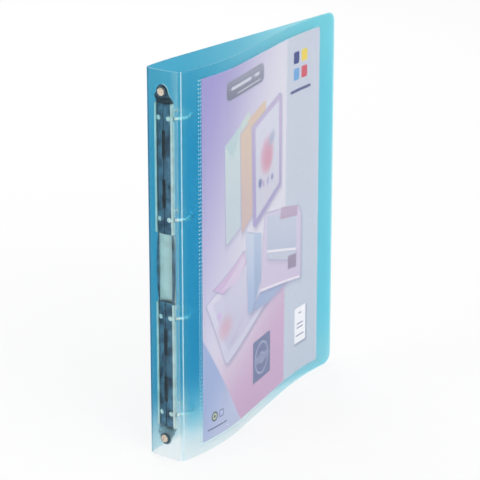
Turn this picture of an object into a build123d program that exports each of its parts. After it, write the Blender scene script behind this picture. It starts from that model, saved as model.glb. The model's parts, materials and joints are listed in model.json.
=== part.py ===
from build123d import *

import os
from math import asin, cos, degrees, radians, sin

# An A4 ring binder: a creased polypropylene cover, a clear front pocket with its sheet, and a four-ring
# mechanism. The binder stands on its bottom edge. +Z is up, +X runs from the spine to the fore edge, and the
# front cover is on the -Y side. The origin is the centre of the closed binder's outline, at its base.
# Sizes are in mm.

# Paper and its margins
insert_width = 210.0  # A4 sheet in the front pocket
insert_height = 297.0
insert_thickness = 0.2
crease_margin = 21.5  # cover between the crease and the sheet
fore_margin = 20.5  # cover between the sheet and the fore edge
foot_margin = 9.2  # cover below the sheet
head_margin = 8.8  # cover above the sheet

# Cover sheet
sheet = 0.8  # polypropylene
spine_width = 33.0  # crease to crease
spine_bulge = 2.6  # how far the spine bows out
land_margin = 0.3  # flat strip of spine beyond each side of the tongues riveted to it
corner_radius = 8.0
flare_angle = 7.5  # both covers leave their creases this far outwards, in degrees
front_flare_radius = 215.0
back_flare_radius = 300.0
lean_factor = 1.75  # the front cover's steepest lean, against a straight run to the fore edge
front_lap = 4.0  # stretch of the front cover that lies on the back cover
cover_gap = 0.3  # between the closed covers
crease_clearance = 1.1  # each panel stops this far from the fold line
web_thickness = 0.3  # thinned sheet in the crease
web_radius = 0.3  # bead that the cover folds about

# Clear pocket on the front cover
film = 0.2
pocket_room = 0.5  # between the cover and the film
weld_width = 2.5
pocket_side_room = 1.2  # each side of the sheet
pocket_foot_room = 0.2  # below the sheet
pocket_head = 2.8  # film above the sheet

# Ring mechanism
steel = 0.8  # housing
rivet_inset = 5.5  # rivet from the end of the housing
ring_inset = 26.5  # end ring from the end of the housing
ring_count = 4
ring_pitch = 80.0  # ISO 838
housing_half_width = 8.75
housing_height = 7.4
wall_height = 3.4  # straight side walls, below the arch
lip_height = 0.9  # underside of the lips above the spine
lip_reach = 1.85  # lips turned in under the blades
tongue_start = 9.0  # flat tongue, from the end of the housing
ramp_length = 5.5  # from the arch down to the tongue
tongue_tip_radius = 5.5
tongue_rise = 0.25  # camber left in the tongue where the ramp meets it
blade_thickness = 1.0
blade_end_gap = 1.0  # between the blades and the ramp
blade_gap = 0.4  # between the two blades when they lie flat
pivot_offset = 7.2  # blade pivots from the middle
pivot_height = 2.4
closed_tilt = 7.0  # blades dip towards the spine when the rings are shut, in degrees
slot_half_width = 1.7
slot_ring_gap = 9.0
slot_mid_gap = 16.0
window_ring_gap = 12.0
window_half_width = 6.6
wing_reach = 1.2  # blade edge bulges out at the window
wing_clearance = 0.5
wing_inner = 6.0  # lip cut back to here at the window

# Rings
wire = 2.6
ring_room = 1.9  # beside each closed ring, so that it can open
widest_bend_radius = 3.0  # middle of the wire, where the ring turns in over the blade
bend_share = 0.95  # of the ring's own radius, at most, is taken by the bend and the run to the stake
stake_bend_radius = 1.6
stake_offset = 4.6  # where the wire goes down through the blade
stake_run = 1.2  # straight wire lying on the blade
stake_head_radius = 1.9
stake_head = 0.4
stake_clearance = 0.05
notch_side_room = 0.8
notch_inner = 3.0
tip_gap = 0.1
peg_radius = 0.7
peg_length = 0.8
peg_clearance = 0.15

# Rivets
shank_radius = 2.3
hole_clearance = 0.1
rolled_radius = 3.4
rolled_height = 0.9
washer_radius = 4.4
washer_thickness = 0.5
star_radius = 3.2
star_height = 0.8
star_points = 8
star_notch = 0.45
dimple_radius = 1.2
dimple_depth = 0.5

# Sizes that follow from those
height = foot_margin + insert_height + head_margin
cover_width = crease_margin + insert_width + fore_margin
middle_height = height / 2
half_sheet = sheet / 2
mechanism_length = (ring_count - 1) * ring_pitch + 2 * ring_inset
ring_heights = [middle_height + ring_pitch * (n - (ring_count - 1) / 2) for n in range(ring_count)]
rivet_reach = mechanism_length / 2 - rivet_inset
pocket_face = half_sheet + pocket_room  # from the middle of the sheet to the film
pocket_outside = pocket_face + film

# Outline in plan
flare = radians(flare_angle)
back_flare_length = back_flare_radius * flare
back_level = spine_width + back_flare_radius * (1 - cos(flare))
back_end = back_flare_radius * sin(flare) + cover_width - back_flare_length
front_level = -front_flare_radius * (1 - cos(flare)) - pocket_outside
rivet_face = spine_bulge + half_sheet + washer_thickness + star_height
crease_x = -(back_end - rivet_face) / 2
front_crease_y = -(back_level + half_sheet + front_level) / 2
middle_y = front_crease_y + spine_width / 2
back_crease_y = front_crease_y + spine_width
land_x = crease_x - spine_bulge + half_sheet  # inner face of the spine, where the mechanism sits
middle_plane = Plane(origin=(0, middle_y, 0), z_dir=(0, 1, 0))

# The front cover leans over to the back cover: a bow out of the crease, a straight run, and a bow back.
front_rise = back_level - sheet - cover_gap
lean = lean_factor * asin(front_rise / cover_width)
front_flare_length = front_flare_radius * (flare + lean)
rise_left = front_rise - front_flare_radius * (cos(flare) - cos(lean))
length_left = cover_width - front_flare_length - front_lap
arc_rise = (1 - cos(lean)) / lean  # mean rise per mm of the closing bow
front_run = (rise_left - arc_rise * length_left) / (sin(lean) - arc_rise)
front_close = length_left - front_run

# The spine is a flat land with a bow each side of it.
spine_land = 2 * (housing_half_width - steel + land_margin)
spine_side = (spine_width - spine_land) / 2
spine_bow_radius = (spine_side**2 + spine_bulge**2) / (2 * spine_bulge)
spine_bow_angle = asin(spine_side / spine_bow_radius)
spine_bow = spine_bow_radius * spine_bow_angle

# A run is its first point, its heading in degrees, and stretches of (length, turn in degrees).
front_run_line = (
    (crease_x, front_crease_y),
    -flare_angle,
    [
        (front_flare_length, flare_angle + degrees(lean)),
        (front_run, 0),
        (front_close, -degrees(lean)),
        (front_lap, 0),
    ],
)
back_run_line = (
    (crease_x, back_crease_y),
    flare_angle,
    [(back_flare_length, -flare_angle), (cover_width - back_flare_length, 0)],
)
spine_run_line = (
    (crease_x, front_crease_y),
    90 + degrees(spine_bow_angle),
    [
        (spine_bow, -degrees(spine_bow_angle)),
        (spine_land, 0),
        (spine_bow, -degrees(spine_bow_angle)),
    ],
)
spine_length = 2 * spine_bow + spine_land


def point_on(run, distance, offset=0.0):
    """The point at a distance along a run, moved to the left of it by the offset."""
    (x, y), heading, stretches = run
    for length, turn in stretches:
        step = min(distance, length)
        heading_before = heading
        heading += turn * step / length
        if turn:
            radius = length / radians(turn)
            x += radius * (sin(radians(heading)) - sin(radians(heading_before)))
            y -= radius * (cos(radians(heading)) - cos(radians(heading_before)))
        else:
            x += step * cos(radians(heading))
            y += step * sin(radians(heading))
        distance -= step
        if distance <= 0:
            break
    return (x - offset * sin(radians(heading)), y + offset * cos(radians(heading)))


def parallel_line(run, first, last, offset):
    """Draws the run's lines and arcs between two distances, at an offset to its left."""
    mark = 0.0
    for length, turn in run[2]:
        start = max(first, mark)
        end = min(last, mark + length)
        mark += length
        if end - start < 1e-6:
            continue
        points = [point_on(run, d, offset) for d in (start, (start + end) / 2, end)]
        if turn:
            ThreePointArc(*points)
        else:
            Line(points[0], points[2])


def strip(run, first, last, right, left):
    """Draws the face of a strip that follows the run, from an offset on its right to one on its left."""
    with BuildLine() as outline:
        parallel_line(run, first, last, right)
        parallel_line(run, first, last, left)
        Line(point_on(run, first, right), point_on(run, first, left))
        Line(point_on(run, last, right), point_on(run, last, left))
    make_face(outline.edges())


def round_fore_corners(panel):
    """Rounds the two corners of a cover at its fore edge."""
    corners = panel.part.edges().filter_by(lambda e: e.length < 1.5 * sheet).group_by(Axis.X)[-1]
    fillet(corners.filter_by(lambda e: abs((e @ 0).Z - (e @ 1).Z) < 1e-6), corner_radius)


def save(piece, name):
    """Labels a finished piece and writes it as a STEP file."""
    piece.part.label = name
    export_step(piece.part, f"parts/{name}.step")


os.makedirs("parts", exist_ok=True)

# Cover panels
with BuildPart() as front_cover:
    with BuildSketch():
        strip(front_run_line, crease_clearance, cover_width, -half_sheet, half_sheet)
    extrude(amount=height)
    round_fore_corners(front_cover)
save(front_cover, "front_cover_panel")

with BuildPart() as back_cover:
    with BuildSketch():
        strip(back_run_line, crease_clearance, cover_width, -half_sheet, half_sheet)
    extrude(amount=height)
    round_fore_corners(back_cover)
save(back_cover, "back_cover_panel")

with BuildPart() as spine:
    with BuildSketch():
        strip(spine_run_line, crease_clearance, spine_length - crease_clearance, -half_sheet, half_sheet)
    with BuildSketch():
        strip(spine_run_line, 0, spine_length, -web_thickness / 2, web_thickness / 2)
        with Locations((crease_x, front_crease_y), (crease_x, back_crease_y)):
            Circle(web_radius)
    extrude(amount=height)
    with BuildSketch(Plane.YZ.offset(land_x)):
        with Locations((middle_y, middle_height - rivet_reach), (middle_y, middle_height + rivet_reach)):
            Circle(shank_radius + hole_clearance)
    extrude(amount=2 * sheet, both=True, mode=Mode.SUBTRACT)
save(spine, "spine_panel")

# Clear pocket: a film held off the cover, welded down along both sides and the foot, and open at the head
pocket_first = crease_margin - pocket_side_room - weld_width
pocket_last = crease_margin + insert_width + pocket_side_room + weld_width
pocket_foot = foot_margin - pocket_foot_room - weld_width
pocket_top = foot_margin + insert_height + pocket_head
with BuildPart() as pocket:
    with BuildSketch(Plane.XY.offset(pocket_foot)):
        strip(front_run_line, pocket_first, pocket_last, -pocket_outside, -pocket_face)
        strip(front_run_line, pocket_first, pocket_first + weld_width, -pocket_outside, -half_sheet)
        strip(front_run_line, pocket_last - weld_width, pocket_last, -pocket_outside, -half_sheet)
    extrude(amount=pocket_top - pocket_foot)
    with BuildSketch(Plane.XY.offset(pocket_foot)):
        strip(front_run_line, pocket_first, pocket_last, -pocket_outside, -half_sheet)
    extrude(amount=weld_width)
save(pocket, "front_pocket_film")

insert_face = half_sheet + (pocket_room - insert_thickness) / 2
with BuildPart() as insert:
    with BuildSketch(Plane.XY.offset(foot_margin)):
        strip(
            front_run_line,
            crease_margin,
            crease_margin + insert_width,
            -insert_face - insert_thickness,
            -insert_face,
        )
    extrude(amount=insert_height)
save(insert, "insert_sheet")


# Ring mechanism. Heights here stand up from the spine's inner face, along +X.
def at(above, aside):
    """A point in plan, from its height above the spine and its distance from the middle."""
    return (land_x + above, middle_y + aside)


def arch_band(half_width, foot, crown):
    """Draws the section of a bent steel strip that arches from side to side."""
    inner_half = half_width - steel
    with BuildLine() as outline:
        ThreePointArc(at(foot, -half_width), at(crown, 0), at(foot, half_width))
        Line(at(foot, half_width), at(foot, inner_half))
        ThreePointArc(at(foot, inner_half), at(crown - steel, 0), at(foot, -inner_half))
        Line(at(foot, -inner_half), at(foot, -half_width))
    make_face(outline.edges())


arch_reach = mechanism_length / 2 - tongue_start - ramp_length
ring_radius = spine_width / 2 - half_sheet - ring_room - wire / 2  # to the middle of the wire
run_height = pivot_height + blade_thickness / 2 + wire / 2  # wire lying on the blade
bend_start = stake_offset + stake_bend_radius + stake_run
bend_radius = min(widest_bend_radius, ring_radius - bend_start / bend_share)
exit_angle = asin(bend_start / (ring_radius - bend_radius))
ring_centre = run_height + ring_radius * cos(exit_angle) + bend_radius * (1 - cos(exit_angle))
window_length = ring_pitch - 2 * window_ring_gap
slot_length = ring_pitch / 2 - slot_ring_gap - slot_mid_gap / 2

with BuildPart() as housing:
    with BuildSketch(Plane.XY.offset(middle_height - arch_reach)):
        arch_band(housing_half_width, wall_height, housing_height)
        for side in (-1, 1):
            with Locations(at((wall_height + lip_height) / 2, side * (housing_half_width - steel / 2))):
                Rectangle(wall_height - lip_height, steel)
            with Locations(at(lip_height + steel / 2, side * (housing_half_width - lip_reach / 2))):
                Rectangle(steel, lip_reach)
    extrude(amount=2 * arch_reach)
    # notches that the ring wires pass through
    with BuildSketch(Plane.XY.offset(middle_height)):
        for side in (-1, 1):
            reach = housing_half_width + steel - notch_inner
            with Locations(at(lip_height + steel + housing_height / 2, side * (notch_inner + reach / 2))):
                Rectangle(housing_height, reach)
    cut = extrude(amount=wire / 2 + notch_side_room, both=True, mode=Mode.PRIVATE)
    with Locations([(0, 0, z - middle_height) for z in ring_heights]):
        add(cut, mode=Mode.SUBTRACT)
    # side walls and lips cut away at the middle, where the blades bulge out
    with BuildSketch(Plane.XY.offset(middle_height)):
        for side in (-1, 1):
            reach = housing_half_width + steel - wing_inner
            with Locations(at(wall_height / 2, side * (wing_inner + reach / 2))):
                Rectangle(wall_height, reach)
    extrude(amount=window_length / 2 + wing_clearance, both=True, mode=Mode.SUBTRACT)
    # each end drops to a flat tongue with a rounded tip and a rivet hole
    for end in (-1, 1):
        tongue_z = middle_height + end * (arch_reach + ramp_length)
        with BuildSketch(Plane.XY.offset(middle_height + end * arch_reach)):
            arch_band(housing_half_width, wall_height, housing_height)
        with BuildSketch(Plane.XY.offset(tongue_z)):
            arch_band(housing_half_width - steel, tongue_rise / 2, tongue_rise + steel)
        loft()
        with BuildSketch(Plane.YZ.offset(land_x)):
            with BuildLine():
                inner = tongue_z - end * steel
                tip = middle_height + end * rivet_reach
                half = housing_half_width - steel
                Polyline(
                    (middle_y - tongue_tip_radius, tip),
                    (middle_y - half, inner),
                    (middle_y + half, inner),
                    (middle_y + tongue_tip_radius, tip),
                )
                ThreePointArc(
                    (middle_y + tongue_tip_radius, tip),
                    (middle_y, tip + end * tongue_tip_radius),
                    (middle_y - tongue_tip_radius, tip),
                )
            make_face()
        extrude(amount=steel)
        with Locations(Plane.YZ.offset(land_x + steel / 2)):
            with Locations((middle_y, tip)):
                Cylinder(shank_radius + hole_clearance, 2 * steel, mode=Mode.SUBTRACT)
save(housing, "ring_housing")

# Wire of a front half ring at height zero: round from its tip, in over the blade and down through it
front_pivot = at(pivot_height, -pivot_offset)
blade_down = Vector(-cos(radians(closed_tilt)), -sin(radians(closed_tilt)))
tip_start = degrees(tip_gap / 2 / ring_radius)
with BuildLine() as wire_line:
    bow = CenterArc(at(ring_centre, 0), ring_radius, -tip_start, tip_start - 180 + degrees(exit_angle))
    bend = JernArc(bow @ 1, bow % 1, bend_radius, -degrees(exit_angle))
    run = Line(bend @ 1, bend @ 1 + stake_run * (bend % 1))
    turn = JernArc(run @ 1, run % 1, stake_bend_radius, 90 + closed_tilt)
    drop = (Vector(*front_pivot) - turn @ 1).dot(blade_down) + blade_thickness / 2
    Line(turn @ 1, turn @ 1 + drop * blade_down)
stake_plane = Plane(origin=wire_line.line @ 1, z_dir=blade_down)

blade_reach = arch_reach - blade_end_gap
blade_width = pivot_offset - blade_gap / 2
with BuildPart() as front_blade:
    with BuildSketch(Plane.XY.offset(middle_height - blade_reach)):
        with Locations(front_pivot):
            Circle(blade_thickness / 2)
            Rectangle(blade_thickness, blade_width, rotation=closed_tilt, align=(Align.CENTER, Align.MIN))
    extrude(amount=2 * blade_reach)
    # wing: the outer edge bulges out beside the window
    with BuildSketch(Plane.YZ.offset(land_x + pivot_height - blade_thickness / 2)):
        with BuildLine():
            ends = [middle_height - window_length / 2, middle_height + window_length / 2]
            edge = front_pivot[1] - wing_reach - blade_thickness / 2
            ThreePointArc((front_pivot[1], ends[0]), (edge, middle_height), (front_pivot[1], ends[1]))
            Line((front_pivot[1], ends[1]), (front_pivot[1], ends[0]))
        make_face()
    extrude(amount=blade_thickness)
    # window and slots in the inner edge
    with BuildSketch(Plane.YZ.offset(land_x)):
        with Locations((middle_y - window_half_width / 2, middle_height)):
            Rectangle(window_half_width, window_length)
        slot_centres = [
            middle_height + side * ring_pitch + place * (slot_mid_gap + slot_length) / 2
            for side in (-1, 1)
            for place in (-1, 1)
        ]
        with Locations([(middle_y, z) for z in slot_centres]):
            SlotOverall(slot_length, 2 * slot_half_width, rotation=90)
    extrude(amount=housing_height, mode=Mode.SUBTRACT)
    # holes for the ring wires
    with Locations([Location((0, 0, z)) * stake_plane.location for z in ring_heights]):
        Cylinder(wire / 2 + stake_clearance, 4 * blade_thickness, mode=Mode.SUBTRACT)
save(front_blade, "front_blade")

with BuildPart() as back_blade:
    mirror(front_blade.part, about=middle_plane)
save(back_blade, "back_blade")


# One half ring at height zero, from its tip round to the stake under the blade
with BuildPart() as half_ring:
    with BuildSketch(Plane(origin=wire_line.line @ 0, z_dir=wire_line.line % 0)):
        Circle(wire / 2)
    sweep(path=wire_line.line)
    with Locations(stake_plane):
        Cylinder(stake_head_radius, stake_head, align=(Align.CENTER, Align.CENTER, Align.MIN))

tip_plane = Plane(origin=at(ring_centre + ring_radius, -tip_gap / 2) + (0,), z_dir=(0, 1, 0))
with BuildPart() as peg:
    with Locations(tip_plane):
        Cone(peg_radius, peg_radius / 2, peg_length, align=(Align.CENTER, Align.CENTER, Align.MIN))
with BuildPart() as socket:
    with Locations(tip_plane.offset(tip_gap)):
        Cone(
            peg_radius + peg_clearance,
            peg_radius / 2 + peg_clearance,
            peg_length + peg_clearance,
            align=(Align.CENTER, Align.CENTER, Align.MIN),
        )

with BuildPart() as front_half_ring:
    add(half_ring.part)
    add(peg.part)
with BuildPart() as back_half_ring:
    mirror(half_ring.part, about=middle_plane)
    add(socket.part, mode=Mode.SUBTRACT)

for number, ring_height in enumerate(reversed(ring_heights), start=1):
    for side, half in (("front", front_half_ring), ("back", back_half_ring)):
        with BuildPart() as ring:
            with Locations((0, 0, ring_height)):
                add(half.part)
        save(ring, f"{side}_ring_{number}")

# Rivets, clenched in a star over a washer on the outside of the spine
outer_face = -sheet
star_face = outer_face - washer_thickness
for name, end in (("bottom", -1), ("top", 1)):
    axis = Plane(origin=(land_x, middle_y, middle_height + end * rivet_reach), z_dir=(-1, 0, 0))
    with BuildPart() as washer:
        with BuildSketch(axis.offset(-outer_face)):
            Circle(washer_radius)
            Circle(shank_radius + hole_clearance, mode=Mode.SUBTRACT)
        extrude(amount=washer_thickness)
    save(washer, f"rivet_washer_{name}")
    with BuildPart() as rivet:
        with BuildSketch(axis.offset(-steel - rolled_height)):
            Circle(rolled_radius)
        extrude(amount=rolled_height)
        fillet(rivet.part.edges().sort_by(Axis.X)[-1], rolled_height / 2)
        with BuildSketch(axis.offset(-steel)):
            Circle(shank_radius)
        extrude(amount=steel - star_face)
        with BuildSketch(axis.offset(-star_face)):
            Circle(star_radius)
            with PolarLocations(star_radius, star_points):
                Circle(star_notch, mode=Mode.SUBTRACT)
        extrude(amount=star_height)
        with BuildSketch(axis.offset(-star_face + star_height)):
            Circle(dimple_radius)
        extrude(amount=-dimple_depth, taper=20, mode=Mode.SUBTRACT)
    save(rivet, f"rivet_{name}")
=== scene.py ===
# %% [markdown]
# # A translucent ring binder
#
# An A4 ring binder is one sheet of polypropylene, creased twice so that it folds round a steel mechanism.
# A clear pocket is welded to the front cover, with a printed sheet in it. The metal parts keep their exact
# solids. The plastic, the film and the paper are made again here, as sheets that follow the same lines in
# plan, because a curved sheet can then carry its own print, welds and soft creases.

# %% Load the binder
import json

import bmesh
import bpy
import numpy as np
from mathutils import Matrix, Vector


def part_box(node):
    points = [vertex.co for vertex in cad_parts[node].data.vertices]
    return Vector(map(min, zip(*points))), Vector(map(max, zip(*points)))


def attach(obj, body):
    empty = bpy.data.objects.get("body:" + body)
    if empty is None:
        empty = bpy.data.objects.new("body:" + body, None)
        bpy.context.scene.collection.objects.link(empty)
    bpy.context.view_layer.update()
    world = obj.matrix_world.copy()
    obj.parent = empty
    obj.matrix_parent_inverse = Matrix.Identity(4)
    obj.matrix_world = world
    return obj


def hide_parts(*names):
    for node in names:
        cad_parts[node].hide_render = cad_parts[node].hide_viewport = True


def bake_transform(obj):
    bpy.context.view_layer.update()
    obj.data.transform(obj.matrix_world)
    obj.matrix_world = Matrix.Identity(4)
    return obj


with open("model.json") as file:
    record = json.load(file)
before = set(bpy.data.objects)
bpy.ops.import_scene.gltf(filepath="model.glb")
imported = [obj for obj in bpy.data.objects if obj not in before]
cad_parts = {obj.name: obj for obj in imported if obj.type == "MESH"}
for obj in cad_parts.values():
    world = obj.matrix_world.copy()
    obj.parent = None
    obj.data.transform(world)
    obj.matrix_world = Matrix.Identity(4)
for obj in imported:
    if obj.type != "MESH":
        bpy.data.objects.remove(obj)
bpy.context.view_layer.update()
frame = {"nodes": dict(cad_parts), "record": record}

mm = 0.001

# %% [markdown]
# ## Where the sheets run
#
# Seen from above, each cover is a line made of straight and evenly bent stretches. It could be drawn as a
# Bezier curve, but a list of stretches keeps its real length, which matters for paper and plastic: they bend
# and don't stretch. The two creases are the fold joints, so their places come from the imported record.

# %% Creases and sizes
joints = {joint["name"]: joint for joint in frame["record"]["behaviour"]["joints"]}
front_crease = np.array(joints["front_cover_fold"]["pos_m"][:2])
back_crease = np.array(joints["back_cover_fold"]["pos_m"][:2])
spine_width = back_crease[1] - front_crease[1]
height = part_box("spine_panel")[1][2]
sheet = 0.8 * mm
cover_width = 252 * mm
flare = np.radians(7.5)  # how far each cover turns outwards as it leaves its crease
print("spine", round(spine_width / mm, 2), "mm between creases, height", round(height / mm, 1), "mm")


# %% A line in plan
def follow(start, heading, stretches, distance):
    """Points and headings at the distances along a line of stretches, each a (length, turn in radians).

    The heading grows evenly along a stretch, so a part of it that turns by t has a chord of sin(t/2) / (t/2)
    times its length, pointing along the mean heading.
    """
    distance = np.asarray(distance, dtype=float)
    points = np.zeros(distance.shape + (2,))
    headings = np.zeros(distance.shape)
    corner = np.array(start, dtype=float)
    mark = 0.0
    for number, (length, turn) in enumerate(stretches):
        last = number == len(stretches) - 1
        here = (distance >= mark) & ((distance <= mark + length) | last)
        done = np.append(distance - mark, length)
        turned = turn * done / length
        chord = done * np.sinc(turned / (2 * np.pi))
        way = heading + turned / 2
        place = corner + chord[:, None] * np.stack([np.cos(way), np.sin(way)], axis=-1)
        points[here] = place[:-1][here]
        headings[here] = (heading + turned)[:-1][here]
        corner = place[-1]
        heading += turn
        mark += length
    return points, headings


# %% The front cover's stretches
# The cover bows in, runs straight, bows back and ends in a flat lap on the back cover. An arc of radius R
# from one heading to another steps sideways by R times the difference of their cosines. The straight run is as
# long as it takes for all the sideways steps to add up to the rise.
front_flare_radius = 215 * mm
front_lap = 4 * mm
fore_gap = 0.3 * mm
back_flare_radius = 300 * mm
back_rise = back_flare_radius * (1 - np.cos(flare))
front_rise = spine_width + back_rise - sheet - fore_gap
lean = 1.75 * np.arcsin(front_rise / cover_width)  # steeper than the straight line from end to end
front_bow = front_flare_radius * (flare + lean)
rise_left = front_rise - front_flare_radius * (np.cos(flare) - np.cos(lean))
length_left = cover_width - front_bow - front_lap
mean_rise = (1 - np.cos(lean)) / lean
front_run = (rise_left - mean_rise * length_left) / (np.sin(lean) - mean_rise)
front_stretches = [
    (front_bow, flare + lean),
    (front_run, 0.0),
    (length_left - front_run, -lean),
    (front_lap, 0.0),
]
print("the front cover leans", round(float(np.degrees(lean)), 1), "degrees at its steepest")

# %% The back cover's and the spine's stretches
back_bow = back_flare_radius * flare
back_stretches = [(back_bow, -flare), (cover_width - back_bow, 0.0)]
spine_land = 16.5 * mm
spine_bulge = 2.6 * mm
spine_side = (spine_width - spine_land) / 2
spine_bow_radius = (spine_side**2 + spine_bulge**2) / (2 * spine_bulge)
spine_angle = np.arcsin(spine_side / spine_bow_radius)
spine_bow = spine_bow_radius * spine_angle
spine_stretches = [(spine_bow, -spine_angle), (spine_land, 0.0), (spine_bow, -spine_angle)]
spine_length = 2 * spine_bow + spine_land
spine_heading = np.pi / 2 + spine_angle
print("spine arc length", round(float(spine_length / mm), 2), "mm")

# %% [markdown]
# ## The creases
#
# A crease is pressed into the sheet while it is warm, so it is a tight bend and not a corner, and the sheet
# is thinner there. Each cover piece therefore starts a little way round on the spine and carries its crease
# with it.

# %% Cover lines that start on the spine
spine_lap = 2.6 * mm
bend_reach = 1.2 * mm


def cover_line(side, stretches):
    """Start, heading and stretches of a cover's line, from its lap on the spine round the crease.

    Side is -1 for the front cover and +1 for the back one. The bend swaps the last bend_reach of the spine
    and the first of the cover for one arc that touches both: where it turns by t and reaches r along each, it
    is t r / tan(t / 2) long. Last comes the distance at which the bend ends.
    """
    if side < 0:
        points, headings = follow(front_crease, spine_heading, spine_stretches, [spine_lap])
        heading = headings[0] - np.pi
    else:
        points, headings = follow(front_crease, spine_heading, spine_stretches, [spine_length - spine_lap])
        heading = headings[0]
    lead = spine_lap - bend_reach
    lead_turn = -side * lead / spine_bow_radius
    first_length, first_turn = stretches[0]
    kept = (first_length - bend_reach) / first_length
    corner = side * flare + first_turn * (1 - kept) - heading - lead_turn
    arc = abs(corner) * bend_reach / np.tan(abs(corner) / 2)
    rest = [(first_length - bend_reach, first_turn * kept)] + stretches[1:]
    return points[0], heading, [(lead, lead_turn), (arc, corner)] + rest, lead + arc


front_line = cover_line(-1, front_stretches)
back_line = cover_line(1, back_stretches)
for name, line in (("front", front_line), ("back", back_line)):
    print(name, "line:", round(float(sum(length for length, _ in line[2]) / mm), 1), "mm")

# %% [markdown]
# ## Closed sheets
#
# A sheet of plastic is two grids of points, one on each face, joined round the edge. A plane with a Solidify
# modifier gives an even wall too, but here the crease is thinner than the rest, so both faces are worked
# out.


# %% Build a closed sheet
def closed_sheet(name, outer, inner, flat, edge=0.0):
    """A mesh from two grids of points (columns, rows, 3) and their places on the flat sheet in metres.

    Neighbouring points of a grid make its faces, and a wall joins the two grids along their shared border.
    """
    columns, rows = outer.shape[:2]
    index = np.arange(2 * columns * rows).reshape(2, columns, rows)
    corners = [index[:, :-1, :-1], index[:, 1:, :-1], index[:, 1:, 1:], index[:, :-1, 1:]]
    faces = np.stack(corners, axis=-1).reshape(-1, 4)
    sides = [index[:, :-1, 0], index[:, -1, :-1], index[:, :0:-1, -1], index[:, 0, :0:-1]]
    border = np.concatenate(sides, axis=1)
    beyond = np.roll(border, -1, axis=1)
    wall = np.stack([border[0], beyond[0], beyond[1], border[1]], axis=-1)
    faces = np.concatenate([faces, wall])
    mesh = bpy.data.meshes.new(name)
    vertices = np.concatenate([outer.reshape(-1, 3), inner.reshape(-1, 3)])
    mesh.from_pydata(vertices.tolist(), [], faces.tolist())
    places = np.concatenate([flat.reshape(-1, 2)] * 2)
    corner_of = np.zeros(len(mesh.loops), dtype=int)
    mesh.loops.foreach_get("vertex_index", corner_of)
    mesh.uv_layers.new(name="flat_sheet").data.foreach_set("uv", places[corner_of].ravel())
    shell = bmesh.new()
    shell.from_mesh(mesh)
    bmesh.ops.recalc_face_normals(shell, faces=shell.faces)
    shell.to_mesh(mesh)
    shell.free()
    mesh.shade_smooth()
    mesh.set_sharp_from_angle(angle=np.radians(50))
    piece = bpy.data.objects.new(name, mesh)
    bpy.context.scene.collection.objects.link(piece)
    if edge:
        bevel = piece.modifiers.new("cut edge", "BEVEL")
        bevel.width = edge
        bevel.segments = 2
        bevel.limit_method = "ANGLE"
        bevel.angle_limit = np.radians(50)
        bevel.harden_normals = True
    print(name, len(faces), "faces")
    return piece


# %% Stand a line up as a sheet
def stand(line, distance, offset, low, high, rows):
    """A grid of points over a line in plan, spread evenly from low to high.

    Each point is moved to the left of the line's heading h by the offset d: x - d sin h and y + d cos h. The
    offset is given for each distance, or for each point of the grid.
    """
    points, headings = follow(line[0], line[1], line[2], distance)
    share = np.linspace(0, 1, rows)
    z = low[:, None] + (high - low)[:, None] * share
    aside = offset if offset.ndim == 2 else offset[:, None]
    x = points[:, 0, None] - aside * np.sin(headings)[:, None]
    y = points[:, 1, None] + aside * np.cos(headings)[:, None]
    return np.stack(np.broadcast_arrays(x, y, z), axis=-1)


def flat_places(distance, points):
    """Where the points of a grid lie on the flat sheet: the distance along the line, and the height."""
    return np.stack(np.broadcast_arrays(distance[:, None], points[..., 2]), axis=-1)


def along(*marks):
    """Distances from (start, end, count) stretches, joined into one rising list."""
    return np.unique(np.concatenate([np.linspace(*mark) for mark in marks]).round(7))


# %% Materials: one function adds a node
def add(tree, kind, inputs=(), **settings):
    """A node with its settings, whose inputs are values or the sockets that feed them."""
    node = tree.nodes.new(kind)
    for name, value in settings.items():
        setattr(node, name, value)
    for name, value in dict(inputs).items():
        socket = node.inputs[name]
        if isinstance(value, bpy.types.NodeSocket):
            tree.links.new(value, socket)
        else:
            socket.default_value = value
    return node


def colour(hex_code):
    """Linear colour of an sRGB hex value: the sRGB curve undone on each channel."""
    parts = np.array([int(hex_code[place : place + 2], 16) for place in (1, 3, 5)]) / 255
    linear = np.where(parts <= 0.04045, parts / 12.92, ((parts + 0.055) / 1.055) ** 2.4)
    return (*linear.tolist(), 1.0)


def material(name, **shader):
    """A material with a Principled shader, its tree and the shader.

    Underscores in the names of the shader's sockets stand for spaces.
    """
    made = bpy.data.materials.new(name)
    made.use_nodes = True
    tree = made.node_tree
    surface = tree.nodes["Principled BSDF"]
    for socket, value in shader.items():
        surface.inputs[socket.replace("_", " ")].default_value = value
    return made, tree, surface


print("helpers ready")

# %% [markdown]
# ## Polypropylene
#
# The covers are extruded polypropylene, tinted with a blue dye and rolled between a matt and a fine-grained
# roller. Light goes through and is scattered, so things close behind look a little soft. A plain alpha would
# keep them sharp. A rough transmission scatters them more the further behind they are, as the real sheet
# does.
#
# The index of polypropylene is 1.49. A Principled shader keeps the whole mirror reflection of that index on
# its transmission, as a white veil, and a rolled matt face has no such veil. So the index here is lower.


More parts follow.
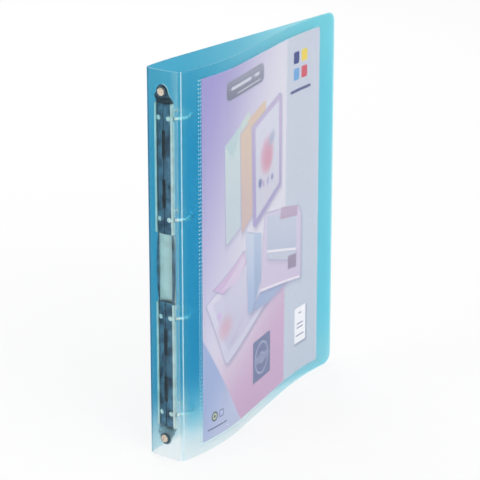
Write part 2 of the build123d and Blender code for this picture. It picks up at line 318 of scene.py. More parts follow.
# %% Polypropylene
def polypropylene(name, tints_with_light, foot_light, top_light, roughness, transmission, way="X", cloudiness=20):
    """Tinted, rolled polypropylene. Tints are (place in mm along the way, colour), joined by a smooth ramp.

    The tints paint light and shade: deep, painted shade by the spine, where light crosses several layers, and
    pale, painted light by the fore edge and foot. Cloudy patches of 60 mm push it to and fro by the
    cloudiness, in mm.
    The roller's grain is finer than a tenth of a millimetre, and is drawn at 1 mm so that it shows. The foot
    light is (from, to, colour), in mm of height: painted light from the white floor below. The top light is
    how much of the pale colour, painted light, the top edge takes, over the last 75 mm.
    """
    made, tree, surface = material(name, Roughness=roughness, IOR=1.18, Transmission_Weight=transmission)
    place = add(tree, "ShaderNodeTexCoord").outputs["Object"]
    parts = add(tree, "ShaderNodeSeparateXYZ", {0: place})
    cloud = add(tree, "ShaderNodeTexNoise", {"Vector": place, "Scale": 1 / (60 * mm), "Detail": 3.0})
    push = {0: cloud.outputs["Fac"], 1: cloudiness * mm, 2: -cloudiness / 2 * mm}
    spread = add(tree, "ShaderNodeMath", push, operation="MULTIPLY_ADD")
    across = add(tree, "ShaderNodeMath", {0: parts.outputs[way], 1: spread.outputs[0]}, operation="ADD")
    tint = colour(tints_with_light[0][1])
    for (start, _), (end, shade) in zip(tints_with_light, tints_with_light[1:]):
        reach = {0: across.outputs[0], 1: start * mm, 2: end * mm}
        share = add(tree, "ShaderNodeMapRange", reach, interpolation_type="SMOOTHSTEP").outputs[0]
        tint = add(tree, "ShaderNodeMix", {0: share, 6: tint, 7: colour(shade)}, data_type="RGBA").outputs[2]
    foot_from, foot_to, foot_light_colour = foot_light
    # painted light at the foot, from the white floor below
    up = {0: parts.outputs["Z"], 1: foot_from * mm, 2: foot_to * mm}
    low = add(tree, "ShaderNodeMapRange", up, interpolation_type="SMOOTHSTEP").outputs[0]
    if way == "X":  # on a cover the pale foot fades towards the fore edge
        inwards = {0: parts.outputs["X"], 1: 60 * mm, 2: -20 * mm}
        near = add(tree, "ShaderNodeMapRange", inwards, interpolation_type="SMOOTHSTEP").outputs[0]
        near = add(tree, "ShaderNodeMath", {0: near, 1: 0.65, 2: 0.35}, operation="MULTIPLY_ADD").outputs[0]
        low = add(tree, "ShaderNodeMath", {0: low, 1: near}, operation="MULTIPLY").outputs[0]
    tint = add(tree, "ShaderNodeMix", {0: low, 6: tint, 7: colour(foot_light_colour)}, data_type="RGBA").outputs[2]
    # painted light along the top edge
    up = {0: parts.outputs["Z"], 1: height - 75 * mm, 2: height, 3: 0.0, 4: top_light}
    high = add(tree, "ShaderNodeMapRange", up, interpolation_type="SMOOTHSTEP").outputs[0]
    tint = add(tree, "ShaderNodeMix", {0: high, 6: tint, 7: colour("#C4F1F3")}, data_type="RGBA").outputs[2]
    tree.links.new(tint, surface.inputs["Base Color"])
    grain = add(tree, "ShaderNodeTexNoise", {"Vector": place, "Scale": 1 / (1.0 * mm), "Detail": 2.0})
    inputs = {"Height": grain.outputs["Fac"], "Strength": 0.12, "Distance": 0.05 * mm}
    bump = add(tree, "ShaderNodeBump", inputs)
    tree.links.new(bump.outputs["Normal"], surface.inputs["Normal"])
    return made


crease_x, front_side = (front_crease / mm).tolist()
# The tints paint light and shade: a pale painted highlight along the front crease on the spine and the front
# cover, deep painted shade by the spine on the back cover, and painted light towards the fore edges.
spine_tints_with_light = [(front_side, "#F4F9F9"), (front_side + 10, "#DDF2F7"), (-front_side, "#BDECF5")]
front_tints_with_light = [(crease_x, "#D2F1F8"), (crease_x + 9, "#92E4F9"), (-crease_x, "#ABE9F5")]
back_tints_with_light = [(crease_x + 40, "#35AACE"), (-crease_x, "#AEECF6")]
spine_plastic = polypropylene(
    "rolled polypropylene - spine", spine_tints_with_light, (55, 0, "#F1F8FA"), 0.4, 0.27, 0.985, way="Y", cloudiness=4
)
front_plastic = polypropylene(
    "rolled polypropylene - front", front_tints_with_light, (55, 0, "#E9F5F8"), 0.5, 0.42, 0.985, cloudiness=6
)
back_plastic = polypropylene(
    "rolled polypropylene - back", back_tints_with_light, (50, 0, "#CBE9F1"), 0.12, 0.48, 0.97, cloudiness=40
)
print("three tints of polypropylene")

# %% Clear towards the back
# The spine is stretched where it bows out from the front crease, so it is cloudier there. That cloudier band
# shows more of the pale tint, and with it paints the soft highlight along the crease.
spine_tree = spine_plastic.node_tree
spine_place = add(spine_tree, "ShaderNodeTexCoord").outputs["Object"]
spine_parts = add(spine_tree, "ShaderNodeSeparateXYZ", {0: spine_place})
bow = {0: spine_parts.outputs["Y"], 1: front_side * mm, 2: (front_side + 10) * mm, 3: 0.9, 4: 0.985}
clear = add(spine_tree, "ShaderNodeMapRange", bow, interpolation_type="SMOOTHSTEP").outputs[0]
spine_tree.links.new(clear, spine_tree.nodes["Principled BSDF"].inputs["Transmission Weight"])
print("the spine clears over 10 mm")


# %% Whitened plastic
def whitened(name, first, second, patch_mm, **shader):
    """Polypropylene that turned pale where it was bent or squeezed: its fine cracks scatter the light.

    Patches of the size given mix two tints.
    """
    made, tree, surface = material(name, **shader)
    place = add(tree, "ShaderNodeTexCoord").outputs["Object"]
    patch = add(tree, "ShaderNodeTexNoise", {"Vector": place, "Scale": 1 / (patch_mm * mm), "Detail": 2.0})
    mixed = {0: patch.outputs["Fac"], 6: colour(first), 7: colour(second)}
    tint = add(tree, "ShaderNodeMix", mixed, data_type="RGBA").outputs[2]
    tree.links.new(tint, surface.inputs["Base Color"])
    return made


bent_white = {"Roughness": 0.4, "IOR": 1.3, "Transmission_Weight": 0.45}
# The bent strip is stress-whitened, and its pale colour also paints the bright highlight along each crease.
crease_white_and_highlight = whitened("stress-whitened polypropylene with painted crease highlight", "#C4EDF8", "#F2FBFD", 5, **bent_white)
print(crease_white_and_highlight.name)

# %% Spine sheet
spine_distance = along((spine_lap, spine_length - spine_lap, 61))
spine_line = (front_crease, spine_heading, spine_stretches)
half = np.full(spine_distance.shape, sheet / 2)
low = np.zeros(spine_distance.shape)
high = low + height
rows = 64
spine_outer = stand(spine_line, spine_distance, half, low, high, rows)
spine_inner = stand(spine_line, spine_distance, -half, low, high, rows)
spine_flat = flat_places(spine_distance, spine_outer)
spine_piece = closed_sheet("spine_sheet", spine_outer, spine_inner, spine_flat)
spine_piece.data.materials.append(spine_plastic)
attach(spine_piece, "spine")
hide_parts("spine_panel")


# %% Covers
corner_radius = 8 * mm
crease_half = 0.6 * mm
whitened_and_highlit_half = 0.45 * mm


def cover(name, line, side):
    """A cover from its lap on the spine to its rounded fore corners.

    The sheet thins to half in the crease, by a bell curve 1.2 mm wide, and near the fore edge the ends of
    each column of points move in along a quarter circle. The faces close to the crease take the second
    material.
    """
    crease_at = line[3] - bend_reach
    total = sum(length for length, _ in line[2])
    distance = along((0, 2 * line[3], 40), (2 * line[3], total - corner_radius, 130))
    rounded = total - corner_radius + corner_radius * np.sin(np.linspace(0, np.pi / 2, 14))
    distance = np.unique(np.concatenate([distance, rounded]).round(7))
    thickness = sheet * (1 - 0.5 * np.exp(-(((distance - crease_at) / crease_half) ** 2)))
    past = np.clip(distance - (total - corner_radius), 0, corner_radius)
    inset = corner_radius - np.sqrt(np.maximum(corner_radius**2 - past**2, 0))
    outer_offset = side * thickness / 2
    outer = stand(line, distance, outer_offset, inset, height - inset, rows)
    inner = stand(line, distance, -outer_offset, inset, height - inset, rows)
    flat = flat_places(distance, outer)
    piece = closed_sheet(name, outer, inner, flat, edge=0.15 * mm)
    middles = (distance[:-1] + distance[1:]) / 2
    # the faces in the crease take the whitened plastic, whose pale colour also paints the crease's highlight
    pressed_and_highlit = np.tile(np.repeat(np.abs(middles - crease_at) < whitened_and_highlit_half, rows - 1), 2)
    slots = np.zeros(len(piece.data.polygons), dtype=int)
    slots[: len(pressed_and_highlit)] = pressed_and_highlit
    piece.data.polygons.foreach_set("material_index", slots)
    return piece


covers = [(-1, "front", front_line, front_crease), (1, "back", back_line, back_crease)]
for side, word, line, crease in covers:
    piece = cover(f"{word}_cover_sheet", line, side)
    piece.data.materials.append(front_plastic if word == "front" else back_plastic)
    piece.data.materials.append(crease_white_and_highlight)
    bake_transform(piece)
    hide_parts(f"{word}_cover_panel")

# %% [markdown]
# ## The clear pocket
#
# The pocket is a clear film, welded to the cover by a hot ribbed bar that leaves a double row of small
# slanted dents. Away from the welds it stands off the cover by the sheet it holds. A plane with a Solidify
# modifier could be the film, but the rise from the weld to the paper is part of its shape.

# %% Clear film
# A soft film is calendered smooth and reflects little, and most of the light goes straight through it.
film_look = {"Roughness": 0.25, "IOR": 1.15, "Transmission_Weight": 1.0, "Alpha": 0.02}
clear_film, tree, surface = material("clear soft film", **film_look)
place = add(tree, "ShaderNodeTexCoord").outputs["Object"]
ripple = add(tree, "ShaderNodeTexNoise", {"Vector": place, "Scale": 1 / (35 * mm), "Detail": 2.0})
mixed = {0: ripple.outputs["Fac"], 6: colour("#F4FAFC"), 7: colour("#FFFFFF")}
haze = add(tree, "ShaderNodeMix", mixed, data_type="RGBA")
tree.links.new(haze.outputs[2], surface.inputs["Base Color"])
waves = {"Height": ripple.outputs["Fac"], "Strength": 0.25, "Distance": 0.4 * mm}
bump = add(tree, "ShaderNodeBump", waves)
tree.links.new(bump.outputs["Normal"], surface.inputs["Normal"])
print(clear_film.name)

# %% Pocket film
plain_front = (front_crease, -flare, front_stretches)
paper_size = (210 * mm, 297 * mm)
sheet_start = 21.5 * mm
sheet_end = sheet_start + paper_size[0]
sheet_foot = 9.2 * mm
sheet_head = sheet_foot + paper_size[1]
weld = 2.5 * mm
side_slack = 1.2 * mm
foot_slack = 0.2 * mm
head_spare = 2.8 * mm
film_thickness = 0.2 * mm
film_start = sheet_start - side_slack - weld
film_end = sheet_end + side_slack + weld
film_foot = sheet_foot - foot_slack - weld
film_head = sheet_head + head_spare
film_distance = along(
    (film_start, film_start + 2 * weld, 14), (film_start, film_end, 120), (film_end - 2 * weld, film_end, 14)
)
film_low = np.full(film_distance.shape, film_foot)
film_high = np.full(film_distance.shape, film_head)
film_rows = 90
film_rise = np.linspace(0, film_head - film_foot, film_rows)
side_reach = np.minimum(film_distance - film_start, film_end - film_distance)
reach = np.minimum(side_reach[:, None], film_rise[None, :])
lift = np.clip((reach - weld * 1.05) / side_slack, 0, 1)
lift = lift * lift * (3 - 2 * lift)  # a smooth step from the weld up to the paper
stand_off = sheet / 2 + (0.02 + 0.48 * lift) * mm
film_inner = stand(plain_front, film_distance, -stand_off, film_low, film_high, film_rows)
film_outer = stand(plain_front, film_distance, -stand_off - film_thickness, film_low, film_high, film_rows)
film_flat = flat_places(film_distance, film_outer)
film_piece = closed_sheet("pocket_film", film_outer, film_inner, film_flat)
film_piece.data.materials.append(clear_film)
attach(film_piece, "front_cover")
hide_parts("front_pocket_film")

# %% [markdown]
# ## The weld's dents
#
# The welding bar's teeth leave two rows of small slanted beads, whitened where the plastic was squeezed. A
# bump map would vanish at this size, and one mesh of a few faces for each bead stays light. The real dents
# are closer together, and are drawn this far apart so that they show one by one.

# %% Weld beads
bead_pitch = 3.2 * mm
bead_long = 0.8 * mm
bead_wide = 0.5 * mm
bead_height = 0.2 * mm
bead_seat = sheet / 2 + film_thickness + 0.02 * mm
bead_slant = np.radians(28)
row_places = (0.14, 1.0)  # as shares of the weld's width
ring_points = 8


def bead_grid(distance, rise, slant):
    """Beads at the distances and heights given: two rings of points each, and a middle point on top.

    A ring is an ellipse turned by the slant s: distance + a cos t sin s + b sin t cos s along the cover, and
    height + a cos t cos s - b sin t sin s up it, for the half sizes a and b. Returned with them is the lift.
    """
    around = np.linspace(0, 2 * np.pi, ring_points, endpoint=False)
    rings = []
    for size, lift in ((1.0, -0.1), (0.72, 0.75)):
        long_way = size * bead_long * np.cos(around)
        wide_way = size * bead_wide * np.sin(around)
        run = distance[:, None] + long_way * np.sin(slant)[:, None] + wide_way * np.cos(slant)[:, None]
        up = rise[:, None] + long_way * np.cos(slant)[:, None] - wide_way * np.sin(slant)[:, None]
        rings.append((run, up, np.full(run.shape, lift)))
    rings.append((distance[:, None], rise[:, None], np.ones((len(distance), 1))))
    return [np.concatenate([ring[part] for ring in rings], axis=1) for part in range(3)]


side_heights = np.arange(film_foot + 0.5 * weld, film_head - 1.5 * mm, bead_pitch)
foot_places = np.arange(film_start + 1.5 * weld, film_end - 0.5 * weld, bead_pitch)
runs, rises, slants = [], [], []
for number, share_in in enumerate(row_places):
    lean_way = bead_slant * (1 if number else -1)
    runs += [np.full(side_heights.shape, film_start + weld * share_in), foot_places]
    rises += [side_heights, np.full(foot_places.shape, film_foot + weld * share_in)]
    slants += [np.full(side_heights.shape, lean_way), np.full(foot_places.shape, np.pi / 2 + lean_way)]
run, up, lift = bead_grid(np.concatenate(runs), np.concatenate(rises), np.concatenate(slants))
print(len(run), "beads placed")

# %% One mesh of beads
points, headings = follow(plain_front[0], plain_front[1], plain_front[2], run.ravel())
outwards = np.stack([np.sin(headings), -np.cos(headings)], axis=-1)
seats = points + (bead_seat + lift.ravel() * bead_height)[:, None] * outwards
bead_points = np.column_stack([seats, up.ravel()])
steps = np.arange(ring_points)
beyond = np.roll(steps, -1)
top = np.full(ring_points, 2 * ring_points)
walls = np.stack([steps, beyond, beyond + ring_points, steps + ring_points], axis=-1)
caps = np.stack([steps + ring_points, beyond + ring_points, top], axis=-1)
firsts = (2 * ring_points + 1) * np.arange(len(run))[:, None, None]
bead_faces = (walls + firsts).reshape(-1, 4).tolist() + (caps + firsts).reshape(-1, 3).tolist()
bead_faces += (steps[::-1] + firsts[:, 0]).tolist()
bead_mesh = bpy.data.meshes.new("pocket_weld_beads")
bead_mesh.from_pydata(bead_points.tolist(), [], bead_faces)
shell = bmesh.new()
shell.from_mesh(bead_mesh)
bmesh.ops.recalc_face_normals(shell, faces=shell.faces)
shell.to_mesh(bead_mesh)
shell.free()
bead_mesh.shade_smooth()
beads = bpy.data.objects.new("pocket_weld_beads", bead_mesh)
bpy.context.scene.collection.objects.link(beads)
squeezed = {"Roughness": 0.35, "IOR": 1.49, "Transmission_Weight": 0.1}
beads.data.materials.append(whitened("squeezed polypropylene weld", "#B4E8F8", "#EAFAFF", 4, **squeezed))
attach(beads, "front_cover")
print(len(bead_faces), "faces")

# %% [markdown]
# ## The printed sheet
#
# The sheet is coated paper printed with soft pastel pictures of folders. An image could carry that, but the
# shapes are simple, so the print is drawn by nodes on the sheet's own flat measure, in millimetres.

# %% Printed paper
# A clay coating, rolled smooth, keeps the ink on top and gives a dull sheen.
coated = {"Roughness": 0.45, "IOR": 1.5, "Specular_IOR_Level": 0.25}
printed_paper, paper_tree, surface = material("coated printed paper", **coated)
flat_place = add(paper_tree, "ShaderNodeUVMap", uv_map="flat_sheet").outputs["UV"]
from_corner = {0: flat_place, 1: (-sheet_start, -sheet_foot, 0)}
shift = add(paper_tree, "ShaderNodeVectorMath", from_corner, operation="ADD").outputs[0]
in_mm = add(paper_tree, "ShaderNodeVectorMath", {0: shift, "Scale": 1 / mm}, operation="SCALE").outputs[0]


def level(centre, way, width):
    """A value that goes from 0 to 1 over the width, along a way across the sheet, with a half at the centre.

    It is a smooth step of the dot product of the place with the way.
    """
    way = np.array(way, dtype=float) / np.hypot(*way)
    dot = add(paper_tree, "ShaderNodeVectorMath", {0: in_mm, 1: (*way.tolist(), 0)}, operation="DOT_PRODUCT")
    middle = float(np.dot(way, centre))
    inputs = {0: dot.outputs["Value"], 1: middle - width / 2, 2: middle + width / 2}
    return add(paper_tree, "ShaderNodeMapRange", inputs, interpolation_type="SMOOTHSTEP").outputs[0]


def ink(amount, under, over):
    """Lays one ink on another: the colour under it where the amount is 0, and the ink where it is 1."""
    under, over = (colour(tint) if isinstance(tint, str) else tint for tint in (under, over))
    return add(paper_tree, "ShaderNodeMix", {0: amount, 6: under, 7: over}, data_type="RGBA").outputs[2]


def polygon(corners, softness=0.5, inset=0.0):
    """1 inside a convex shape and 0 outside: the least of one level for each side.

    The corners run anticlockwise, and the inset, in mm, moves every side inwards.
    """
    inside = None
    for first, second in zip(corners, corners[1:] + corners[:1]):
        way = np.array([first[1] - second[1], second[0] - first[0]])
        side = level(first + inset * way / np.hypot(*way), way, softness)
        if inside is None:
            inside = side
        else:
            inside = add(paper_tree, "ShaderNodeMath", {0: inside, 1: side}, operation="MINIMUM").outputs[0]
    return inside


def oval(centre, width, height, tilt=0.0, softness=0.5):
    """1 inside an ellipse and 0 outside: the length of the place after each half size is scaled to 1.

    The tilt is in degrees, and the softness in mm.
    """
    turned = {"Vector": in_mm, "Location": (*centre, 0), "Rotation": (0, 0, np.radians(tilt))}
    turned["Scale"] = (width / 2, height / 2, 1)
    local = add(paper_tree, "ShaderNodeMapping", turned, vector_type="TEXTURE").outputs[0]
    away = add(paper_tree, "ShaderNodeVectorMath", {0: local}, operation="LENGTH").outputs["Value"]
    edge = softness / min(width, height)
    inputs = {0: away, 1: 1 + edge, 2: 1 - edge}
    return add(paper_tree, "ShaderNodeMapRange", inputs, interpolation_type="SMOOTHSTEP").outputs[0]


def tile(centre, width, height, radius, tilt=0.0, softness=0.5):
    """1 inside a rectangle with rounded corners: the distance to a smaller rectangle against the radius."""
    turned = {"Vector": in_mm, "Location": (*centre, 0), "Rotation": (0, 0, np.radians(tilt))}
    local = add(paper_tree, "ShaderNodeMapping", turned, vector_type="TEXTURE").outputs[0]
    folded = add(paper_tree, "ShaderNodeVectorMath", {0: local}, operation="ABSOLUTE").outputs[0]
    corner = (width / 2 - radius, height / 2 - radius, 0)
    past = add(paper_tree, "ShaderNodeVectorMath", {0: folded, 1: corner}, operation="SUBTRACT").outputs[0]
    past = add(paper_tree, "ShaderNodeVectorMath", {0: past, 1: (0, 0, 0)}, operation="MAXIMUM").outputs[0]
    away = add(paper_tree, "ShaderNodeVectorMath", {0: past}, operation="LENGTH").outputs["Value"]
    inputs = {0: away, 1: radius + softness / 2, 2: radius - softness / 2}
    return add(paper_tree, "ShaderNodeMapRange", inputs, interpolation_type="SMOOTHSTEP").outputs[0]


# %% The print's ground
ground = ink(level((38, 205), (1, -0.5), 150), "#9A95C9", "#D8D7E4")
ground = ink(level((75, 70), (0.45, -1), 90), ground, "#C9ABCB")
corner_blue = ink(level((22, 25), (1, -0.8), 50), "#9DAED4", "#BBC4DF")
ground = ink(polygon([(-5, -5), (60, -5), (-5, 94)], 1.0), ground, corner_blue)
panel = ink(level((180, 150), (0.2, 1), 320), "#C1CCDB", "#C3CAD9")
ground = ink(level((149, 0), (1, -0.015), 1.0), ground, panel)
print("ground drawn")

# %% The pictures of folders
# Each is a convex shape with its corners in millimetres from the sheet's lower corner by the spine, its
# first and second shade, and the weight of the shadow it casts. A shape with a shadow has an edge line too.
folders = [
    # a mint sleeve with a flap, behind
    ([(31, 155), (58, 164), (58, 249), (30, 237)], "#BFCBD6", "#C3D2D6", 0.3),
    ([(30, 237), (44, 224), (58, 249)], "#B3C9D0", "#BACFD4", 0.0),
    ([(58, 164), (76, 170), (76, 256), (58, 249)], "#BECBD3", "#C4D3D2", 0.0),
    # a peach folder
    ([(59, 157), (82, 167), (82, 249), (56, 241)], "#CAB6B4", "#D2BFB2", 0.35),
    ([(80, 240), (108, 245), (108, 257), (70, 248)], "#CEBBB2", "#D6C2AE", 0.0),
    # a violet binder with a pale page
    ([(82, 158), (88, 155), (142, 177), (142, 254), (137, 256), (79, 241)], "#A9A2CB", "#BDB2D2", 0.45),
    ([(89, 162), (137, 180), (136, 250), (87, 238)], "#C9CAD9", "#D0D2E2", 0.0),
    # a white envelope with a rose flap
    ([(4, 114), (30, 58), (34, 56), (115, 85), (72, 138), (63, 143)], "#CBCCDF", "#D6D5E4", 0.5),
    ([(13, 112), (35, 66), (104, 86), (64, 128)], "#C2C3DA", "#CCCBDF", 0.0),
    ([(12, 124), (28, 116), (70, 131), (63, 143)], "#C6B0D2", "#D0BEDB", 0.15),
    ([(24, 120), (52, 120), (68, 133), (62, 139)], "#CFC2DC", "#D6CBE0", 0.0),
    ([(36, 72), (44, 70), (76, 92), (70, 96)], "#BDBBD6", "#C8C4DC", 0.0),
    # a pale blue folder, standing open
    ([(76, 85), (113, 82), (158, 87), (98, 97)], "#98AACC", "#A9BADA", 0.35),
    ([(72, 86), (80, 84), (99, 108), (100, 147), (68, 157)], "#A2B6D6", "#C4CEE2", 0.3),
    ([(86, 90), (99, 108), (100, 147), (84, 152)], "#9AAFD0", "#B4C4DC", 0.0),
    # a rose folder with a clear pocket
    ([(97, 97), (180, 84), (182, 87), (182, 141), (177, 150), (107, 162)], "#CBC2DA", "#CFC8DE", 0.5),
    ([(112, 124), (173, 99), (173, 146), (112, 158)], "#B4BED4", "#C3CBDC", 0.0),
    ([(139, 147), (175, 141), (175, 150), (143, 157)], "#B39FBC", "#BDB0C8", 0.0),
    ([(112, 120), (173, 101), (173, 112), (112, 128)], "#BCC2D4", "#C6CCDC", 0.25),
    ([(112, 126.5), (173, 111), (173, 113), (112, 128.5)], "#E4E2EC", "#E8E6F0", 0.0),
    ([(157, 98), (173, 96), (173, 108), (157, 110)], "#938AA4", "#A29AB2", 0.0),
    ([(97, 97), (180, 84), (180, 86), (98, 99)], "#E4DEEA", "#E8E2EE", 0.0),
]
shadow_shift = (1.5, -2.5)
shadow_softness = 7.0
edge_line = 0.7
picture = ground
for corners, first, second, weight in folders:
    if weight:
        fallen = [(x + shadow_shift[0], y + shadow_shift[1]) for x, y in corners]
        dark = {0: polygon(fallen, shadow_softness), 1: weight}
        shadow = add(paper_tree, "ShaderNodeMath", dark, operation="MULTIPLY").outputs[0]
        picture = ink(shadow, picture, "#8486AE")
        picture = ink(polygon(corners), picture, "#A4A6C6")
    shade = ink(level(np.mean(corners, axis=0), (0.4, 1), 70), first, second)
    picture = ink(polygon(corners, inset=edge_line if weight else 0.0), picture, shade)
print(len(folders), "shapes drawn")

# %% Fruit and leaves on the page
blots = [
    ((111, 210), 25, 29, -15, 9, "#CFA9C0"),
    ((113, 208), 15, 19, -15, 10, "#CC9DB2"),
    ((121, 222), 13, 9, 30, 6, "#ADB4CC"),
    ((97, 190), 7, 8, 0, 3, "#7E86B4"),
    ((104, 188), 3, 6, 20, 3, "#B7A0C8"),
    ((113, 188), 4, 6, -20, 3, "#A9A0CC"),
    ((122, 189), 5, 5, 10, 3, "#8D90BE"),
    ((31, 88), 20, 16, 25, 12, "#CDB2C6"),
    ((22, 100), 6, 6, 0, 4, "#C9B6DC"),
]
for centre, width, tall, tilt, softness, tint in blots:
    picture = ink(oval(centre, width, tall, tilt, softness), picture, tint)
print(len(blots), "blots of colour")

# %% Labels without words
# A grey label with pale rules, four tiles over a rule, a square badge with a ring, a page, and small marks.
picture = ink(tile((69, 280), 71, 15.5, 5, 1.5, 2.5), picture, "#A6A4C0")
tag = ink(level((69, 280), (0.1, 1), 20), "#7C8095", "#9599AC")
picture = ink(tile((68.5, 280.5), 70, 15, 4.5, 1.5), picture, tag)
for centre, length in (((60, 281), 38), ((90, 281.8), 10)):
    picture = ink(tile(centre, length, 2.6, 1.2, 1.5), picture, "#C9CCDA")
picture = ink(tile((74, 275.8), 46, 0.7, 0.3, 1.5), picture, "#D9DCE6")
tiles = [(171, 278, "#3E4C86"), (185, 278, "#E6CF62"), (171, 264, "#6FA4D8"), (185, 264, "#CC5F70")]
for across, up, tint in tiles:
    picture = ink(tile((across, up), 10, 10, 1.5), picture, tint)
picture = ink(tile((178, 250), 36, 2.6, 1.2), picture, "#5A648F")
picture = ink(tile((101, 38.6), 36.5, 36.5, 0.5), picture, "#757FA4")
for radius, tint in ((14, "#A9B1CC"), (12.6, "#757FA4"), (5, "#A9B1CC")):
    picture = ink(oval((101, 38.6), 2 * radius, 2 * radius), picture, tint)
picture = ink(tile((101, 38.6), 30, 7, 0.5), picture, "#8E97B8")
picture = ink(tile((182, 40), 22, 33, 1, 0, 3), picture, "#9AA3BC")
picture = ink(tile((181, 41.5), 20, 32, 0.5), picture, "#F2F4FA")
for rise, length in ((52, 5), (42.5, 11), (39, 11), (32, 14)):
    picture = ink(tile((181, rise), length, 1.0, 0.3), picture, "#7C84A8")
for radius, tint in ((4.2, "#5E6670"), (2.9, "#B9C4B0"), (1.3, "#5E6670")):
    picture = ink(oval((15, 17.5), 2 * radius, 2 * radius), picture, tint)
picture = ink(tile((24.5, 17.5), 6, 6, 0.8), picture, "#5E6688")
picture = ink(tile((24.5, 17.5), 4.6, 4.6, 0.5), picture, "#B4BFE2")
picture = ink(tile((19, 8), 27, 1.2, 0.5), picture, "#6A7398")
paper_tree.links.new(picture, surface.inputs["Base Color"])
print("print finished with", len(paper_tree.nodes), "nodes")

# %% Insert sheet
# It lies between the cover and the film, and its reverse is uncoated and left white.
paper_gap = 0.15 * mm
paper_thickness = 0.2 * mm
paper_rows = 60
paper_distance = along((sheet_start, sheet_end, 90))
paper_low = np.full(paper_distance.shape, sheet_foot)
paper_high = np.full(paper_distance.shape, sheet_head)
paper_back = np.full(paper_distance.shape, -sheet / 2 - paper_gap)
paper_face = paper_back - paper_thickness
paper_inner = stand(plain_front, paper_distance, paper_back, paper_low, paper_high, paper_rows)
paper_outer = stand(plain_front, paper_distance, paper_face, paper_low, paper_high, paper_rows)
paper_flat = flat_places(paper_distance, paper_outer)
paper_piece = closed_sheet("printed_sheet", paper_outer, paper_inner, paper_flat)
plain_reverse, _, _ = material("plain paper reverse", Base_Color=colour("#EEF0F4"), Roughness=0.6)
paper_piece.data.materials.append(printed_paper)
paper_piece.data.materials.append(plain_reverse)
face_count = (paper_distance.size - 1) * (paper_rows - 1)
for polygon_number in range(face_count, 2 * face_count):
    paper_piece.data.polygons[polygon_number].material_index = 1
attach(paper_piece, "pocket_sheet")
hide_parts("insert_sheet")

# %% [markdown]
# ## The mechanism
#
# The housing, blades and rings are plated or blued steel. The rings are bright, and the pressed parts are
# duller, with faint marks from the press. They could be drawn again as sheets too, but a ring mechanism is
# all small exact bends and holes. So they keep their own solids and only get finishes.


# %% Plated steel
def plated_steel(name, bright, dull, metallic, roughness, grain_mm):
    """Plated steel with two tints and two roughnesses, mixed by cloudy patches of the grain's size."""
    made, tree, surface = material(name, Metallic=metallic)
    place = add(tree, "ShaderNodeTexCoord").outputs["Object"]
    patch = add(tree, "ShaderNodeTexNoise", {"Vector": place, "Scale": 1 / (grain_mm * mm), "Detail": 4.0})
    spots = add(tree, "ShaderNodeMapRange", {0: patch.outputs["Fac"], 1: 0.35, 2: 0.65}).outputs[0]
    tint = add(tree, "ShaderNodeMix", {0: spots, 6: colour(bright), 7: colour(dull)}, data_type="RGBA")
    tree.links.new(tint.outputs[2], surface.inputs["Base Color"])
    wear = {0: patch.outputs["Fac"], 3: roughness * 0.7, 4: roughness * 1.4}
    tree.links.new(add(tree, "ShaderNodeMapRange", wear).outputs[0], surface.inputs["Roughness"])
    dents = {"Height": patch.outputs["Fac"], "Strength": 0.15, "Distance": 0.1 * mm}
    bump = add(tree, "ShaderNodeBump", dents)
    tree.links.new(bump.outputs["Normal"], surface.inputs["Normal"])
    return made


finishes = {
    # strip steel, pressed, then tumbled in the nickel bath: pale and satin, with cloudy press marks
    "housing": plated_steel("matt nickel on pressed steel", "#FBF8F0", "#E2E0D8", 0.5, 0.42, 9),
    # hardened strip, blued by the heat: dark, with a soft sheen
    "blade": plated_steel("blued spring steel", "#5C86A0", "#1A3852", 0.8, 0.36, 9),
    # thin stamped plate, darkened: it lets the bright clench stand out
    "washer": plated_steel("darkened plate", "#56707F", "#263844", 0.8, 0.38, 3),
    # drawn tube, bright plated, a little yellow: the star of its clench catches the light
    "rivet": plated_steel("bright plated rivet", "#E9DFCF", "#B9AA98", 0.8, 0.3, 2),
    # drawn wire under bright nickel: the smoothest face, with long thin highlights
    "ring": plated_steel("bright nickel on wire", "#FAFAF4", "#E4E6E0", 0.65, 0.24, 12),
}
for name, node in frame["nodes"].items():
    finish = next((finishes[word] for word in finishes if word in name), None)
    if finish:
        node.data.materials.clear()
        node.data.materials.append(finish)
print(len(finishes), "metal finishes")

# %% [markdown]
# ## Inside the housing
#
# The hollow side of the housing lies in its own shade behind the blades, and that shade is painted into its
# colour: dark, and lighter towards the foot. It could be a second material on chosen faces. The housing is one
# exact solid, so here the place and the way that a face looks pick out the hollow instead.

# %% Painted shade on the hollow side of the housing
blade_window = 27 * mm  # half the height of the plain middle, where no blade covers the hollow
tongue_reach = 16 * mm  # how far the flat tongue and its ramp reach in from each end
hollow_depth = 2.2 * mm
housing_tree = finishes["housing"].node_tree
housing_base = housing_tree.nodes["Principled BSDF"].inputs["Base Color"]
plated = housing_base.links[0].from_socket
place = add(housing_tree, "ShaderNodeTexCoord")
part = add(housing_tree, "ShaderNodeSeparateXYZ", {0: place.outputs["Object"]})
facing = add(housing_tree, "ShaderNodeSeparateXYZ", {0: place.outputs["Normal"]}).outputs["X"]
centred = {0: part.outputs["Z"], 1: height / 2}
from_middle = add(housing_tree, "ShaderNodeMath", centred, operation="SUBTRACT").outputs[0]
from_middle = add(housing_tree, "ShaderNodeMath", {0: from_middle}, operation="ABSOLUTE").outputs[0]
spine_face = front_crease[0] - spine_bulge + sheet / 2
housing_foot, housing_top = (corner[2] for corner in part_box("ring_housing"))
half_length = (housing_top - housing_foot) / 2
limits = [
    (facing, -0.2, -0.4),  # it faces the spine
    (from_middle, blade_window, blade_window + 2 * mm),  # and lies beyond the blades' window
    (part.outputs["X"], spine_face + hollow_depth, spine_face + hollow_depth + 0.6 * mm),  # up in the arch
    (from_middle, half_length - tongue_reach, half_length - tongue_reach + 2 * mm),  # or on ramp and tongue
]
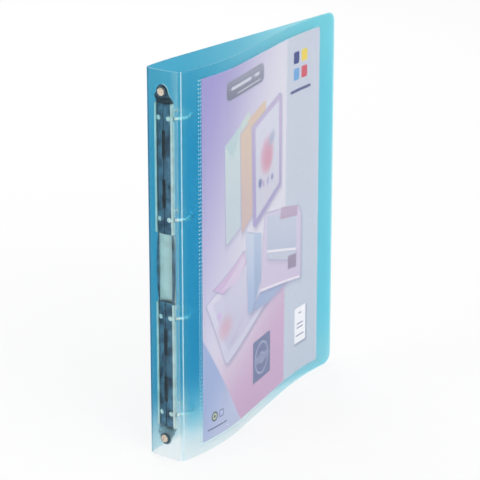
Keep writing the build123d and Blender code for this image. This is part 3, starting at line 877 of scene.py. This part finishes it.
facing_in, past_window, in_arch, on_tongue = [
    add(housing_tree, "ShaderNodeMapRange", {0: value, 1: start, 2: end}).outputs[0]
    for value, start, end in limits
]
hollow_painted_shade = add(housing_tree, "ShaderNodeMath", {0: in_arch, 1: on_tongue}, operation="MAXIMUM").outputs[0]
for also in (facing_in, past_window):
    hollow_painted_shade = add(housing_tree, "ShaderNodeMath", {0: hollow_painted_shade, 1: also}, operation="MULTIPLY").outputs[0]
# painted shade for the hollow: lighter towards the foot, darker higher up
rise = add(housing_tree, "ShaderNodeMapRange", {0: part.outputs["Z"], 1: 18 * mm, 2: 60 * mm}).outputs[0]
shades = {0: rise, 6: colour("#8CAAB6"), 7: colour("#2E4E66")}
shaded = add(housing_tree, "ShaderNodeMix", shades, data_type="RGBA").outputs[2]
tint = add(housing_tree, "ShaderNodeMix", {0: hollow_painted_shade, 6: plated, 7: shaded}, data_type="RGBA")
housing_tree.links.new(tint.outputs[2], housing_base)
print("housing from", round(housing_foot / mm, 1), "to", round(housing_top / mm, 1), "mm")

# %% [markdown]
# ## Floor, light and camera
#
# A pale floor and a soft, even light, as in a product studio. The floor is white to the camera and still
# takes the shadow.

# %% What sees the white surroundings
def bright_to(tree, rays):
    """1 for the camera and for rays that shine through plastic or off metal, and 0 for the rest."""
    seen = rays.outputs["Is Camera Ray"]
    for kind in ("Is Transmission Ray", "Is Glossy Ray"):
        seen = add(tree, "ShaderNodeMath", {0: seen, 1: rays.outputs[kind]}, operation="MAXIMUM").outputs[0]
    return seen


# %% Floor
bpy.ops.mesh.primitive_plane_add(size=12)
floor = bpy.context.object
floor.name = "studio_floor"
shadow_share = 0.2  # how much of the floor's own shade is left in its white
white_floor = bpy.data.materials.new("white floor")
white_floor.use_nodes = True
tree = white_floor.node_tree
tree.nodes.clear()
rays = add(tree, "ShaderNodeLightPath")
seen = {0: bright_to(tree, rays), 1: 1 - shadow_share}
share = add(tree, "ShaderNodeMath", seen, operation="MULTIPLY")
paint = add(tree, "ShaderNodeBsdfDiffuse", {"Color": colour("#EEEEEE")})
white = add(tree, "ShaderNodeEmission", {"Color": colour("#FFFFFF"), "Strength": 1.0})
mixed = add(tree, "ShaderNodeMixShader", {0: share.outputs[0], 1: paint.outputs[0], 2: white.outputs[0]})
add(tree, "ShaderNodeOutputMaterial", {"Surface": mixed.outputs[0]})
floor.data.materials.append(white_floor)
print("floor laid")

# %% Light
world = bpy.data.worlds.new("studio")
bpy.context.scene.world = world
world.use_nodes = True
tree = world.node_tree
tree.nodes.clear()
rays = add(tree, "ShaderNodeLightPath")
dim = add(tree, "ShaderNodeBackground", {"Color": colour("#FFFFFF"), "Strength": 0.75})
full = add(tree, "ShaderNodeBackground", {"Color": colour("#FFFFFF"), "Strength": 1.0})
mixed = add(tree, "ShaderNodeMixShader", {0: bright_to(tree, rays), 1: dim.outputs[0], 2: full.outputs[0]})
add(tree, "ShaderNodeOutputWorld", {"Surface": mixed.outputs[0]})


def softbox(name, place, target, size, power):
    """A square lamp at a place, facing a target: turned about X by its tilt and about Z by its bearing."""
    lamp = bpy.data.lights.new(name, "AREA")
    lamp.size = size
    lamp.energy = power
    holder = bpy.data.objects.new(name, lamp)
    bpy.context.scene.collection.objects.link(holder)
    away = np.array(place) - np.array(target)
    across = np.hypot(away[0], away[1])
    holder.location = place
    holder.rotation_euler = (np.arctan2(across, away[2]), 0, np.arctan2(away[1], away[0]) + np.pi / 2)


binder_middle = (0, 0, 0.15)
softbox("key", (-0.6, -1.6, 1.5), binder_middle, 1.2, 16)
softbox("fill", (-1.6, 0.6, 0.9), binder_middle, 1.0, 6)
softbox("back", (0.9, 1.3, 1.0), binder_middle, 1.0, 8)
print("three softboxes")

# %% Camera
lens = bpy.data.cameras.new("camera")
lens.lens = 162.2
lens.sensor_width = 36
camera = bpy.data.objects.new("camera", lens)
bpy.context.scene.collection.objects.link(camera)
camera.location = (-1.352, -1.001, 0.691)
camera.rotation_euler = (np.radians(90 - 17.87), 0, np.radians(-52.89))
bpy.context.scene.camera = camera
bpy.context.scene.view_settings.view_transform = "Standard"
print("camera", lens.lens, "mm")
